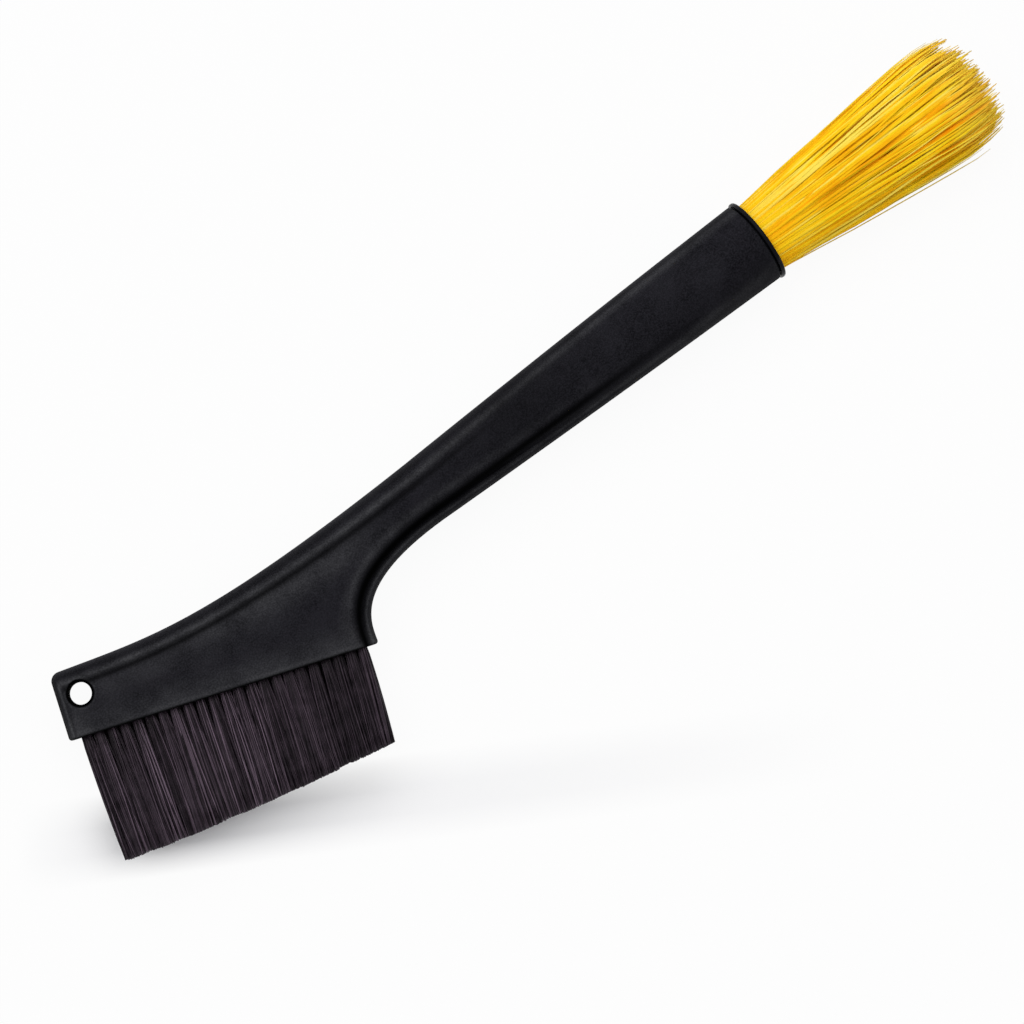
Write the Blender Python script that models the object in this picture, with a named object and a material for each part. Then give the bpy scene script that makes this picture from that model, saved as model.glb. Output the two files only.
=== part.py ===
"""Double-ended grinder brush, in metres.

A flat plastic head carries two staggered rows of stiff black tufts, and the round
grip that grows out of it ends in a glossy collar round a soft yellow brush.
The brush lies on its side: X runs along the grip towards the yellow bristles,
the black bristles point towards -Y, and Z is the thickness of the head.
"""

import math
import random

import bmesh
import bpy
from mathutils import Matrix, Vector

# Grip, measured from the collar's front face along the grip's axis
grip_length = 0.0850
grip_end_radius = 0.0088
neck_upper_width = 0.0062
neck_lower_width = 0.0073
grip_swell = 0.0002
handle_end_round = 0.0003

# Head outline
head_angle = math.radians(19.2)
head_width = 0.0640
head_height = 0.0137
head_reach = 0.1102
head_drop = 0.0193
head_corner_radius = 0.0018
root_edge_round = 0.0006
top_edge_angle = math.radians(15.8)
top_sweep_neck = 0.0518
top_sweep_head = 0.0207
notch_sweep_neck = 0.0236
notch_sweep_root = 0.0038

# Thickness of the moulding, as half thicknesses from its middle plane
web_half_neck = 0.0056
web_half_head = 0.0040
rim_half_neck = 0.0060
rim_half_head = 0.0045
rim_width = 0.0058
rim_width_head = 0.0048
rim_width_left = 0.0023
rim_turn = 0.0006
channel_depth = 0.0003
bead_half_neck = 0.0038
bead_half_head = 0.0037
bead_width = 0.0021
groove_half_neck = 0.0021
groove_half_root = 0.0031
shoulder_width_neck = 0.0034
shoulder_width_head = 0.0024
relief_start = 0.0220
relief_full = 0.1000

# Hang hole, from the head's lower left corner
hang_hole_radius = 0.00225
hang_hole_lip = 0.0004
hang_hole_lip_depth = 0.0013
hang_hole_inset = 0.0049
hang_hole_rise = 0.0084

# Black bristles
tuft_pitch = 0.0026
tuft_row_margin = 0.0020
tuft_row_offset = 0.0019
tuft_hole_radius = 0.00108
tuft_root_radius = 0.00078
tuft_hole_depth = 0.0046
black_length_outer = 0.0257
black_length_inner = 0.0195
black_tip_inset_outer = 0.0014
black_tip_inset_inner = 0.0008
black_trim_bow = 0.0007
black_ragged = 0.0003
black_tip_depth = 0.0011

# Collar and yellow bristles
collar_radius = 0.0091
collar_mouth_radius = 0.0077
collar_bead_length = 0.00085
collar_bead_round = 0.00025
collar_sleeve_radius = 0.00775
collar_bore_radius = 0.0073
collar_sleeve_length = 0.0105
collar_mouth_chamfer = 0.0010
knot_radius = 0.0070
knot_depth = 0.0045
knot_slice = 0.0015
knot_plug_length = 0.0040
yellow_length = 0.0557
yellow_tip_radius = 0.0113
yellow_tip_depth = 0.0098
yellow_dome = 0.0032
yellow_ragged = 0.0007

# Clearances shared by every fit
seat_gap = 0.0003
socket_gap = 0.00025
socket_end_gap = 0.0010
cut_overrun = 0.0010
merge_distance = 0.00001

# Facets, counts and seeds
grip_stations = 8
top_edge_stations = 18
corner_stations = 4
left_edge_stations = 3
search_steps = 24
round_steps = 36
tuft_hole_steps = 10
knot_rings = 6
black_seed = 7
yellow_seed = 11

# Shares of the section: (across, rise) of the bead, of the shoulder and of the rim's back
bead_shares = ((0.0, 0.0), (0.15, 0.66), (0.50, 1.0))
shoulder_shares = ((0.32, 0.60), (0.64, 0.91), (1.0, 1.0))
rim_shares = ((0.0, 0.0), (0.04, 0.36), (0.15, 0.66), (0.31, 0.88), (0.56, 1.0))
channel_share = 0.80
rim_foot_share = 1.12
rim_head_share = 0.50
rim_corner_share = 0.76
turn_handle_share = 0.55
deep_groove_share = 0.20
middle_points = 5
edge_points = 7
thinning_share = 0.55
notch_share_of_top = 0.86
notch_share_of_corner = 0.91
top_spacing_power = 0.80

# Shares of a strand: its root in its cell, its tip, and its spread
black_strand_inset_share = 0.115
black_tip_size_share = 1.15
yellow_strand_inset_share = 0.11
yellow_tip_size_share = 1.10


def mix(start, end, share):
    return start + (end - start) * share


def ease(share):
    share = min(max(share, 0.0), 1.0)
    return share * share * (3 - 2 * share)


def bezier(points, share):
    """Point and direction on a cubic curve through four control points."""
    a, b, c, d = points
    rest = 1 - share
    place = rest ** 3 * a + 3 * rest ** 2 * share * b + 3 * rest * share ** 2 * c + share ** 3 * d
    heading = 3 * rest ** 2 * (b - a) + 6 * rest * share * (c - b) + 3 * share ** 2 * (d - c)
    return place, heading.normalized()


def left_of(heading):
    return Vector((-heading.y, heading.x))


def clear_scene():
    for item in list(bpy.data.objects):
        bpy.data.objects.remove(item, do_unlink=True)


def make_material(name, colour, roughness):
    material = bpy.data.materials.new(name)
    material.use_nodes = True
    shader = material.node_tree.nodes["Principled BSDF"]
    shader.inputs["Base Color"].default_value = (*colour, 1.0)
    shader.inputs["Roughness"].default_value = roughness
    shader.inputs["Metallic"].default_value = 0.0
    material.diffuse_color = (*colour, 1.0)
    return material


def make_object(name, mesh, material, parent=None):
    thing = bpy.data.objects.new(name, mesh)
    bpy.context.scene.collection.objects.link(thing)
    if material:
        mesh.materials.append(material)
    thing.parent = parent
    return thing


def make_empty(name, parent=None):
    empty = bpy.data.objects.new(name, None)
    bpy.context.scene.collection.objects.link(empty)
    empty.parent = parent
    return empty


def mesh_from(bm, name):
    bmesh.ops.recalc_face_normals(bm, faces=bm.faces)
    mesh = bpy.data.meshes.new(name)
    bm.to_mesh(mesh)
    bm.free()
    return mesh


def smooth(mesh, angle=math.radians(35)):
    mesh.shade_smooth()
    mesh.set_sharp_from_angle(angle=angle)


def turned_mesh(name, outline, steps, closed=False):
    """Turn an outline of (radius, height) points round local Z; a closed one makes a ring."""
    bm = bmesh.new()
    points = [bm.verts.new((radius, 0.0, height)) for radius, height in outline]
    edges = [bm.edges.new(pair) for pair in zip(points, points[1:])]
    if closed:
        edges.append(bm.edges.new((points[-1], points[0])))
    bmesh.ops.spin(bm, geom=points + edges, axis=(0, 0, 1), cent=(0, 0, 0),
                   angle=2 * math.pi, steps=steps, use_merge=True)
    bmesh.ops.remove_doubles(bm, verts=bm.verts, dist=merge_distance)
    return mesh_from(bm, name)


def rod_mesh(name, radius, low, high, steps):
    outline = [(0.0, low), (radius, low), (radius, high), (0.0, high)]
    return turned_mesh(name, outline, steps)


# Head frame: along the root line from its lower left corner, and up into the head

def row_heading():
    return Vector((math.cos(head_angle), -math.sin(head_angle)))


def root_corner():
    return Vector((-head_reach, -head_drop))


def left_corner():
    return root_corner() - head_width * row_heading()


def top_corner():
    return left_corner() + head_height * left_of(row_heading())


# Outline of the handle: each station has an inner and an outer edge point, the headings into the
# moulding, its part and share of the outer edge's run, and how far round to the left edge it is

def grip_end():
    return collar_bead_length + seat_gap


def half_widths(distance):
    share = distance / grip_length
    swell = 4 * grip_swell * share * (1 - share)
    return (mix(grip_end_radius, neck_lower_width, share) + swell,
            mix(grip_end_radius, neck_upper_width, share) + swell)


def grip_rows():
    rows = []
    first = grip_end() + handle_end_round
    for i in range(grip_stations):
        distance = mix(first, grip_length, i / grip_stations)
        lower, upper = half_widths(distance)
        rows.append({"inner": Vector((-distance, -lower)), "into_inner": Vector((0, 1)),
                     "outer": Vector((-distance, upper)), "into_outer": Vector((0, -1)),
                     "run": None, "rim_width": rim_width, "leftness": 0.0, "head_share": 0.0})
    return rows


def notch_curve():
    start = Vector((-grip_length, -neck_lower_width))
    heading = Vector((-grip_length, grip_end_radius - neck_lower_width)).normalized()
    up = left_of(row_heading())
    return (start, start + notch_sweep_neck * heading,
            root_corner() + notch_sweep_root * up, root_corner())


def top_curve():
    start = Vector((-grip_length, neck_upper_width))
    heading = Vector((-grip_length, neck_upper_width - grip_end_radius)).normalized()
    back = Vector((math.cos(top_edge_angle), -math.sin(top_edge_angle)))
    return (start, start + top_sweep_neck * heading,
            top_corner() + top_sweep_head * back, top_corner())


def rim_line(across, left_across):
    """A line inside the head's top and left edges: last share of the top curve, corner, left start."""
    up = left_of(row_heading())
    back = Vector((math.cos(top_edge_angle), -math.sin(top_edge_angle)))
    sideways = back.dot(row_heading())
    corner = top_corner() + back * left_across / sideways - up * across / up.dot(left_of(back))
    turn = max(rim_turn, head_corner_radius - left_across)
    low, high = rim_corner_share, 1.0
    for _ in range(search_steps):
        middle = (low + high) / 2
        place, heading = bezier(top_curve(), middle)
        inset = (place + left_of(heading) * across - top_corner()).dot(row_heading())
        if inset > left_across + turn * sideways:
            low = middle
        else:
            high = middle
    return low, corner, corner - up * turn


def outer_place(run, across, shrink=0.0):
    """Place on the line that far in from the outer edge, at a part and share of the edge's run."""
    part, share = run
    left_across = across * rim_width_left / rim_width_head + shrink
    across += shrink
    if part == "top" and share <= rim_corner_share:
        place, heading = bezier(top_curve(), share)
        return place + left_of(heading) * across
    last_share, corner, left_start = rim_line(across, left_across)
    if part == "top":
        share = (share - rim_corner_share) / (1 - rim_corner_share)
        place, heading = bezier(top_curve(), mix(rim_corner_share, last_share, share))
        return place + left_of(heading) * across
    place, heading = bezier(top_curve(), last_share)
    top_end = place + left_of(heading) * across
    if part == "corner":
        handles = top_end.lerp(corner, turn_handle_share), left_start.lerp(corner, turn_handle_share)
        return bezier((top_end, *handles, left_start), share)[0]
    bottom = left_corner() + root_edge_round * left_of(row_heading()) + left_across * row_heading()
    return left_start.lerp(bottom, share)


def head_rows():
    notch = notch_curve()
    rows = []

    def add(inner_share, part, share, into_outer, width, leftness):
        inner, heading = bezier(notch, inner_share)
        rows.append({"inner": inner, "into_inner": -left_of(heading),
                     "outer": outer_place((part, share), 0.0), "into_outer": into_outer,
                     "run": (part, share), "rim_width": width,
                     "leftness": leftness, "head_share": inner_share})

    for i in range(top_edge_stations):
        share = i / top_edge_stations
        into = left_of(bezier(top_curve(), share)[1])
        width = mix(rim_width, rim_width_head, ease(share / rim_head_share))
        add(notch_share_of_top * share ** top_spacing_power, "top", share, into, width, 0.0)
    down = -left_of(Vector((math.cos(top_edge_angle), -math.sin(top_edge_angle))))
    for i in range(corner_stations + 1):
        share = i / corner_stations
        inner_share = mix(notch_share_of_top, notch_share_of_corner, share)
        into = down.lerp(row_heading(), share).normalized()
        add(inner_share, "corner", share, into, rim_width_head, ease(share))
    end_share = 1 - root_edge_round / (3 * notch_sweep_root)
    for i in range(1, left_edge_stations + 1):
        share = i / left_edge_stations
        inner_share = mix(notch_share_of_corner, end_share, share)
        add(inner_share, "left", share, row_heading(), rim_width_head, 1.0)
    return rows


# Cross-section: the plan place and half thickness of each point from the inner to the outer edge

def relief_section(row):
    """Points of the moulded relief, in from either edge: (distance from the edge, half thickness)."""
    share = ease(row["head_share"] / thinning_share)
    web = mix(web_half_neck, web_half_head, share)
    rim = mix(rim_half_neck, rim_half_head, share)
    bead = mix(bead_half_neck, bead_half_head, share)
    rising = ease((row["head_share"] - deep_groove_share) / (1 - deep_groove_share))
    groove = mix(groove_half_neck, groove_half_root, rising)
    shoulder = mix(shoulder_width_neck, shoulder_width_head, ease(row["head_share"]))
    inner = [(bead_width * across, bead * rise) for across, rise in bead_shares]
    inner.append((bead_width, groove))
    for across, rise in shoulder_shares:
        inner.append((bead_width + shoulder * across, mix(groove, web, rise)))
    width = row["rim_width"]
    outer = [(width * across, rim * rise) for across, rise in rim_shares]
    outer.append((width * channel_share, web - channel_depth * (1 - row["leftness"])))
    outer.append((width * rim_foot_share, web))
    return inner, web, outer


def round_section(row):
    """The same points on a half circle across the grip."""
    radius = (row["outer"] - row["inner"]).length / 2
    count = 2 * edge_points + middle_points - 1
    points = []
    for i in range(count + 1):
        angle = math.pi * i / count
        points.append((radius * (1 - math.cos(angle)), radius * math.sin(angle)))
    return radius, points


def section_points(row, shrink=0.0):
    """Plan place and half thickness of every point on one rib across the plan.

    The rim's points follow lines inside the outer edge; the rest of the rib is straight, and a
    distance from the inner edge is longer along it where it meets that edge aslant.
    """
    inner, web, outer = relief_section(row)
    radius, circle = round_section(row)
    depth = -row["inner"].x
    relief = ease((depth - relief_start) / (relief_full - relief_start))
    rib = (row["outer"] - row["inner"]).normalized()
    inner_step = rib / rib.dot(row["into_inner"])
    points = []
    for i in range(edge_points):
        across = mix(circle[i][0], inner[i][0], relief)
        rise = mix(circle[i][1], inner[i][1], relief)
        points.append((row["inner"] + inner_step * (across + shrink), rise))
    ends = []
    for i in range(edge_points):
        across = mix(circle[i][0], outer[i][0], relief)
        rise = mix(circle[i][1], outer[i][1], relief)
        if row["run"]:
            place = outer_place(row["run"], across, shrink)
        else:
            place = row["outer"] + row["into_outer"] * (across + shrink)
        ends.append((place, rise))
    start, end = points[-1][0], ends[-1][0]
    low, high = circle[edge_points - 1][0], circle[-edge_points][0]
    for i in range(middle_points):
        even = (i + 1) / (middle_points + 1)
        turned = (circle[edge_points + i][0] - low) / (high - low)
        rise = mix(circle[edge_points + i][1], web, relief)
        points.append((start.lerp(end, mix(turned, even, relief)), rise))
    points.extend(reversed(ends))
    return [(place, max(rise - shrink, 0.0) if rise else 0.0) for place, rise in points]


def section_loop(bm, row, offset=Vector((0.0, 0.0)), shrink=0.0):
    points = section_points(row, shrink)
    front = [bm.verts.new((p.x + offset.x, p.y + offset.y, h)) for p, h in points]
    back = [bm.verts.new((p.x + offset.x, p.y + offset.y, -h)) for p, h in points[-2:0:-1]]
    return front + back


def handle_mesh():
    """Loft the moulding from the grip's end, round the neck, to the root face."""
    bm = bmesh.new()
    rows = grip_rows() + head_rows()
    loops = [section_loop(bm, rows[0], Vector((handle_end_round, 0.0)), handle_end_round)]
    loops.extend(section_loop(bm, row) for row in rows)
    down = -root_edge_round * left_of(row_heading())
    loops.append(section_loop(bm, rows[-1], down, root_edge_round))
    for first, second in zip(loops, loops[1:]):
        for i in range(len(first)):
            bm.faces.new((first[i - 1], first[i], second[i], second[i - 1]))
    bm.faces.new(loops[0])
    bm.faces.new(reversed(loops[-1]))
    return mesh_from(bm, "handle")


def cut(target, cutter_mesh, name, parent):
    """Cut a shape out of the target, with a hidden cutter that stays in the file."""
    cutter = make_object(name, cutter_mesh, None, parent)
    cutter.hide_render = True
    cutter.display_type = "WIRE"
    modifier = target.modifiers.new(name, "BOOLEAN")
    modifier.operation = "DIFFERENCE"
    modifier.object = cutter
    return cutter


def hang_hole_mesh():
    """A bore with a steep lip on both faces of the head, cut clear through the rim's inner side."""
    high = web_half_head + cut_overrun
    lip_end = web_half_head + seat_gap
    wide = hang_hole_radius + hang_hole_lip * (1 + seat_gap / hang_hole_lip_depth)
    upper = [(hang_hole_radius, web_half_head - hang_hole_lip_depth),
             (wide, lip_end), (wide, high), (0.0, high)]
    lower = [(radius, -height) for radius, height in reversed(upper)]
    return turned_mesh("hang_hole_cutter", lower + upper, round_steps)


def front_places():
    """Places of the front row's tufts along the root line, from the head's left corner."""
    count = round((head_width - 2 * tuft_row_margin) / tuft_pitch)
    spare = head_width - count * tuft_pitch
    return [spare / 2 + tuft_pitch * (i + 0.5) for i in range(count)]


def back_places():
    """The back row stands between the front row's tufts, one tuft shorter."""
    places = front_places()
    return [(a + b) / 2 for a, b in zip(places, places[1:])]


def tuft_holes_mesh():
    bm = bmesh.new()
    length = tuft_hole_depth + cut_overrun
    middle = cut_overrun - length / 2
    for side, places in ((1, front_places()), (-1, back_places())):
        for along in places:
            place = Matrix.Translation((along, side * tuft_row_offset, middle))
            bmesh.ops.create_cone(bm, cap_ends=True, segments=tuft_hole_steps, depth=length,
                                  radius1=tuft_hole_radius, radius2=tuft_hole_radius, matrix=place)
    return mesh_from(bm, "tuft_hole_cutter")


# Bristles: a round slice whose face is a net of triangles, with one strand on each triangle

def slice_with_cells(bm, rings, radius, depth):
    """A closed round slice with its face at height zero; returns its triangular cells."""
    centre = bm.verts.new((0.0, 0.0, 0.0))
    loops = [[centre]]
    for k in range(1, rings + 1):
        loop = []
        for j in range(6 * k):
            angle = 2 * math.pi * j / (6 * k)
            reach = radius * k / rings
            loop.append(bm.verts.new((reach * math.cos(angle), reach * math.sin(angle), 0.0)))
        loops.append(loop)
    cells = []
    for k in range(1, rings + 1):
        inner, outer = loops[k - 1], loops[k]
        for sector in range(6):
            for i in range(k):
                near = outer[(sector * k + i) % len(outer)]
                far = outer[(sector * k + i + 1) % len(outer)]
                low = inner[(sector * (k - 1) + i) % len(inner)]
                cells.append(bm.faces.new((near, far, low)))
                if i < k - 1:
                    next_low = inner[(sector * (k - 1) + i + 1) % len(inner)]
                    cells.append(bm.faces.new((low, far, next_low)))
    rim = loops[-1]
    foot = [bm.verts.new((v.co.x, v.co.y, -depth)) for v in rim]
    for i in range(len(rim)):
        bm.faces.new((rim[i], rim[i - 1], foot[i - 1], foot[i]))
    bm.faces.new(reversed(foot))
    return cells


def grow_strands(bm, cells, inset, tip_of, tip_size_share):
    """Narrow each cell to a strand's root and draw it out to its tip."""
    bmesh.ops.inset_individual(bm, faces=cells, thickness=inset, use_even_offset=True)
    for cell in list(cells):
        root = cell.calc_center_median()
        tip, height_of = tip_of(root)
        drawn = bmesh.ops.extrude_discrete_faces(bm, faces=[cell])["faces"][0]
        for vertex in drawn.verts:
            place = tip + (vertex.co - root) * tip_size_share
            place.z = height_of(place)
            vertex.co = place


def black_tuft_mesh(name, along, side, ragged):
    """One tuft of the flat head; its strands end on the slanted trim line."""
    first = front_places()[0] - tuft_pitch / 2
    row_length = tuft_pitch * len(front_places())
    tip_length = row_length - black_tip_inset_outer - black_tip_inset_inner
    gather = tip_length / row_length
    shift = first + black_tip_inset_outer + (along - first) * gather - along
    side_shift = black_tip_depth - tuft_row_offset
    spread = tuft_pitch / (2 * tuft_root_radius) * gather
    side_spread = black_tip_depth / tuft_root_radius

    def trim_height(place):
        share = (along + place.x - first - black_tip_inset_outer) / tip_length
        bow = 4 * black_trim_bow * share * (1 - share)
        return mix(black_length_outer, black_length_inner, share) + bow

    def tip_of(root):
        tip = Vector((shift + root.x * spread, side * side_shift + root.y * side_spread, 0.0))
        trim = ragged.uniform(-black_ragged, black_ragged)
        return tip, lambda place: trim_height(place) + trim

    bm = bmesh.new()
    cells = slice_with_cells(bm, 1, tuft_root_radius, tuft_hole_depth - seat_gap)
    grow_strands(bm, cells, tuft_root_radius * black_strand_inset_share, tip_of,
                 black_tip_size_share)
    return mesh_from(bm, name)


def yellow_knot_mesh(name, ragged):
    """The round brush: strands that fan out to a domed, slightly ragged end."""
    spread = yellow_tip_radius / knot_radius
    depth_spread = yellow_tip_depth / knot_radius
    cell_size = knot_radius / knot_rings

    def tip_of(root):
        share = root.length / knot_radius
        height = knot_depth + yellow_length - yellow_dome * share ** 2
        height -= yellow_ragged * ragged.random()
        return Vector((root.x * depth_spread, root.y * spread, 0.0)), lambda place: height

    bm = bmesh.new()
    cells = slice_with_cells(bm, knot_rings, knot_radius, knot_slice)
    grow_strands(bm, cells, cell_size * yellow_strand_inset_share, tip_of, yellow_tip_size_share)
    return mesh_from(bm, name)


def collar_outline():
    """Outline of the collar from its mouth, out over the bead and back along the sleeve."""
    edge = collar_bead_round
    back = -collar_bead_length
    return [(collar_mouth_radius, 0.0), (collar_radius - edge, 0.0), (collar_radius, -edge),
            (collar_radius, back + edge), (collar_radius - edge, back),
            (collar_sleeve_radius, back), (collar_sleeve_radius, -collar_sleeve_length),
            (collar_bore_radius, -collar_sleeve_length), (collar_bore_radius, -collar_mouth_chamfer)]


def build_handle(brush, root_row, grip_axis, material):
    handle = make_object("handle", handle_mesh(), material, brush)
    socket_depth = collar_sleeve_length + socket_end_gap
    socket = rod_mesh("socket_cutter", collar_sleeve_radius + socket_gap,
                      -socket_depth, cut_overrun, round_steps)
    cut(handle, socket, "socket_cutter", grip_axis)
    cut(handle, tuft_holes_mesh(), "tuft_hole_cutter", root_row)
    hang = cut(handle, hang_hole_mesh(), "hang_hole_cutter", brush)
    along = row_heading()
    place = left_corner() + hang_hole_inset * along + hang_hole_rise * left_of(along)
    hang.location = (place.x, place.y, 0.0)
    smooth(handle.data)
    return handle


def build_tufts(root_row, material):
    ragged = random.Random(black_seed)
    for row_name, side, places in (("front", 1, front_places()), ("back", -1, back_places())):
        for number, along in enumerate(places, start=1):
            name = f"tuft_{row_name}_{number:02d}"
            tuft = make_object(name, black_tuft_mesh(name, along, side, ragged), material, root_row)
            tuft.location = (along, side * tuft_row_offset, 0.0)


def build_round_brush(grip_axis, collar_material, yellow_material, resin_material):
    collar = turned_mesh("end_collar", collar_outline(), round_steps, closed=True)
    smooth(collar)
    make_object("end_collar", collar, collar_material, grip_axis)
    knot = yellow_knot_mesh("yellow_bristles", random.Random(yellow_seed))
    yellow = make_object("yellow_bristles", knot, yellow_material, grip_axis)
    yellow.location = (0.0, 0.0, -knot_depth)
    plug_top = -(knot_depth + knot_slice + seat_gap)
    plug = rod_mesh("knot_plug", knot_radius, plug_top - knot_plug_length, plug_top, round_steps)
    make_object("knot_plug", plug, resin_material, grip_axis)


def stand_on_origin(brush):
    """Put the middle of the brush's box over the origin and its lowest point at height zero."""
    bpy.context.view_layer.update()
    graph = bpy.context.evaluated_depsgraph_get()
    corners = []
    for thing in bpy.context.scene.objects:
        if thing.type == "MESH" and not thing.hide_render:
            shape = thing.evaluated_get(graph)
            corners.extend(shape.matrix_world @ v.co for v in shape.data.vertices)
    low = Vector([min(c[i] for c in corners) for i in range(3)])
    high = Vector([max(c[i] for c in corners) for i in range(3)])
    middle = (low + high) / 2
    brush.location = (-middle.x, -middle.y, -low.z)


def main():
    clear_scene()
    black_plastic = make_material("black_plastic", (0.022, 0.023, 0.026), 0.55)
    glossy_plastic = make_material("glossy_plastic", (0.012, 0.012, 0.014), 0.22)
    black_nylon = make_material("black_nylon", (0.035, 0.028, 0.033), 0.45)
    yellow_nylon = make_material("yellow_nylon", (0.90, 0.50, 0.02), 0.40)
    resin = make_material("resin", (0.35, 0.25, 0.12), 0.35)

    brush = make_empty("brush")
    grip_axis = make_empty("grip_axis", brush)
    grip_axis.rotation_euler = (0.0, math.pi / 2, 0.0)
    root_row = make_empty("root_row", brush)
    corner = left_corner()
    root_row.location = (corner.x, corner.y, 0.0)
    root_row.rotation_euler = (math.pi / 2, 0.0, -head_angle)

    build_handle(brush, root_row, grip_axis, black_plastic)
    build_tufts(root_row, black_nylon)
    build_round_brush(grip_axis, glossy_plastic, yellow_nylon, resin)
    stand_on_origin(brush)


main()
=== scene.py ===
"""Looks of the double-ended grinder brush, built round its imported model.

The moulded handle, the glossy collar, the black tufts and the yellow round brush are
modelled finely here, on the same formulas and sizes as the solids they stand for.
"""

import math

import bmesh
import bpy
import numpy as np
from mathutils import Matrix, Vector


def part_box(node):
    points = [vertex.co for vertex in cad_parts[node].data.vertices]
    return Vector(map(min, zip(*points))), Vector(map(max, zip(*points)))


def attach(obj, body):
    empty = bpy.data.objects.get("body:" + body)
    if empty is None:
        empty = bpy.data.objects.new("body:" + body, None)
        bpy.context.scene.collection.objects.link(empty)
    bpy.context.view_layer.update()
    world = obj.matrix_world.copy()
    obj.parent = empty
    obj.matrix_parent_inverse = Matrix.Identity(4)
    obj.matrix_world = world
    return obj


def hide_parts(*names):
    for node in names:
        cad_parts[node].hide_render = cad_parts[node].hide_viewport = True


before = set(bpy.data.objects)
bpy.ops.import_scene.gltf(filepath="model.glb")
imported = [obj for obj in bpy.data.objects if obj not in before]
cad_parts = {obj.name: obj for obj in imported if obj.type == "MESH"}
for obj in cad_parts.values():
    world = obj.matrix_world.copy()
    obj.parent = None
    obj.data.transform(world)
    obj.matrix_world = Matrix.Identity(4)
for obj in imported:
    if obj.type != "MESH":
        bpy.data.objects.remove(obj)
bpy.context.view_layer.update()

# Grip, measured from the collar's front face along the grip's axis
GRIP_LENGTH = 0.085
GRIP_END_RADIUS = 0.0088
NECK_UPPER_WIDTH = 0.0062
NECK_LOWER_WIDTH = 0.0073
GRIP_SWELL = 0.0002
GRIP_SQUARENESS = 3.0
SQUARE_FROM = 0.004
SQUARE_FULL = 0.028
HANDLE_END_ROUND = 0.0003
HANDLE_SHARP_ANGLE = math.radians(38)

# Head outline
HEAD_ANGLE = math.radians(19.2)
HEAD_WIDTH = 0.064
HEAD_HEIGHT = 0.0137
HEAD_REACH = 0.1102
HEAD_DROP = 0.0193
HEAD_CORNER_RADIUS = 0.0018
ROOT_EDGE_ROUND = 0.0006
TOP_EDGE_ANGLE = math.radians(15.8)
TOP_SWEEP_NECK = 0.0518
TOP_SWEEP_HEAD = 0.0207
NOTCH_SWEEP_NECK = 0.0236
NOTCH_SWEEP_ROOT = 0.0038

# Thickness of the moulding, as half thicknesses from its middle plane
WEB_HALF_NECK = 0.0056
WEB_HALF_HEAD = 0.004
RIM_HALF_NECK = 0.006
RIM_HALF_HEAD = 0.0045
RIM_WIDTH = 0.0058
RIM_WIDTH_HEAD = 0.0048
RIM_WIDTH_LEFT = 0.0023
RIM_HEAD_SHARE = 0.5
RIM_CORNER_SHARE = 0.76
RIM_TURN_MIN = 0.0006
RIM_SEARCH_STEPS = 24
CHANNEL_DEPTH = 0.0003
TURN_HANDLE_SHARE = 0.55
BEAD_HALF_NECK = 0.0038
BEAD_HALF_HEAD = 0.0037
BEAD_WIDTH = 0.0021
GROOVE_HALF_NECK = 0.0021
GROOVE_HALF_ROOT = 0.0031
SHOULDER_WIDTH_NECK = 0.0034
SHOULDER_WIDTH_HEAD = 0.0024
RELIEF_START = 0.022
RELIEF_FULL = 0.1

# Shares of the section: (across, rise) of its bead, shoulder and rim
BEAD_SHARES = ((0.0, 0.0), (0.15, 0.66), (0.5, 1.0))
SHOULDER_SHARES = ((0.32, 0.6), (0.64, 0.91), (1.0, 1.0))
RIM_SHARES = ((0.0, 0.0), (0.04, 0.36), (0.15, 0.66), (0.31, 0.88), (0.56, 1.0))
CHANNEL_SHARE = 0.8
RIM_FOOT_SHARE = 1.12
DEEP_GROOVE_SHARE = 0.2
THINNING_SHARE = 0.55
NOTCH_SHARE_OF_TOP = 0.86
NOTCH_SHARE_OF_CORNER = 0.91
TOP_SPACING_POWER = 0.8

# Painted light and shade on the plastic, as (place, half reach): painted highlight lines and
# lighter bands, then painted shade in recesses and on dim sides. Places are from the nearest edge,
# the one beside the rim from the rim's foot, and the neck's along the grip.
CREST_ON_GRIP = (0.0016, 0.00074)
CREST_REACH = 0.00072
BEAD_LINE = (0.0011, 0.00034)
BEAD_LINE_AT_COLLAR = (0.0019, 0.001)
RIDGE_LINE = (0.0045, 0.0008)
BESIDE_RIM = (0.0003, 0.003)
ROOT_LINE = (0.0008, 0.0004)
DIP_ON_GRIP = (0.0008, 0.0004)
DIP_ON_HEAD = (0.00135, 0.0006)
BAND_ON_GRIP = (0.003, 0.0011)
BAND_ON_HEAD = (0.0025, 0.00112)
SHADE_NECK_PLACE = (0.061, 0.015)

# Painted light and shade that are strongest on the edge itself, as (strength, half reach)
EDGE_LIGHT = (0.2, 0.00045)
EDGE_SHADE = (0.8, 0.0005)
LEFT_EDGE_SHADE = (0.92, 0.0015)

# Strengths of the marks. Two are for the grip's end and the head, for the bead the other way round.
CREST_STRENGTHS = (0.42, 0.6)
BEAD_STRENGTHS = (0.64, 0.36)
RIDGE_STRENGTH = 0.4
BESIDE_RIM_STRENGTHS = (0.46, 0.24)
ROOT_STRENGTH = 0.4
ROOT_LINE_STRENGTH = 0.25
CHANNEL_STRENGTH = 0.75
CHANNEL_LEFT_SHARE = 0.3
BAND_STRENGTHS = (0.12, 1.0)
DIP_STRENGTH = 0.34
SHADE_LOW_SIDE = 0.4
SHADE_NECK = 0.36

# Where the marks change along the handle, and how far some of them reach
BEAD_NARROWS_BY = 0.045
BAND_DEEP_BY = 0.06
BESIDE_RIM_RISE = (0.05, 0.2)
BESIDE_RIM_FALL = (0.3, 0.3)
SHADE_REACH = 0.0105
SHADE_FADES_SHARE = 0.3
ROOT_REACH = 0.007
CHANNEL_REACH_SHARE = 0.12

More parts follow.
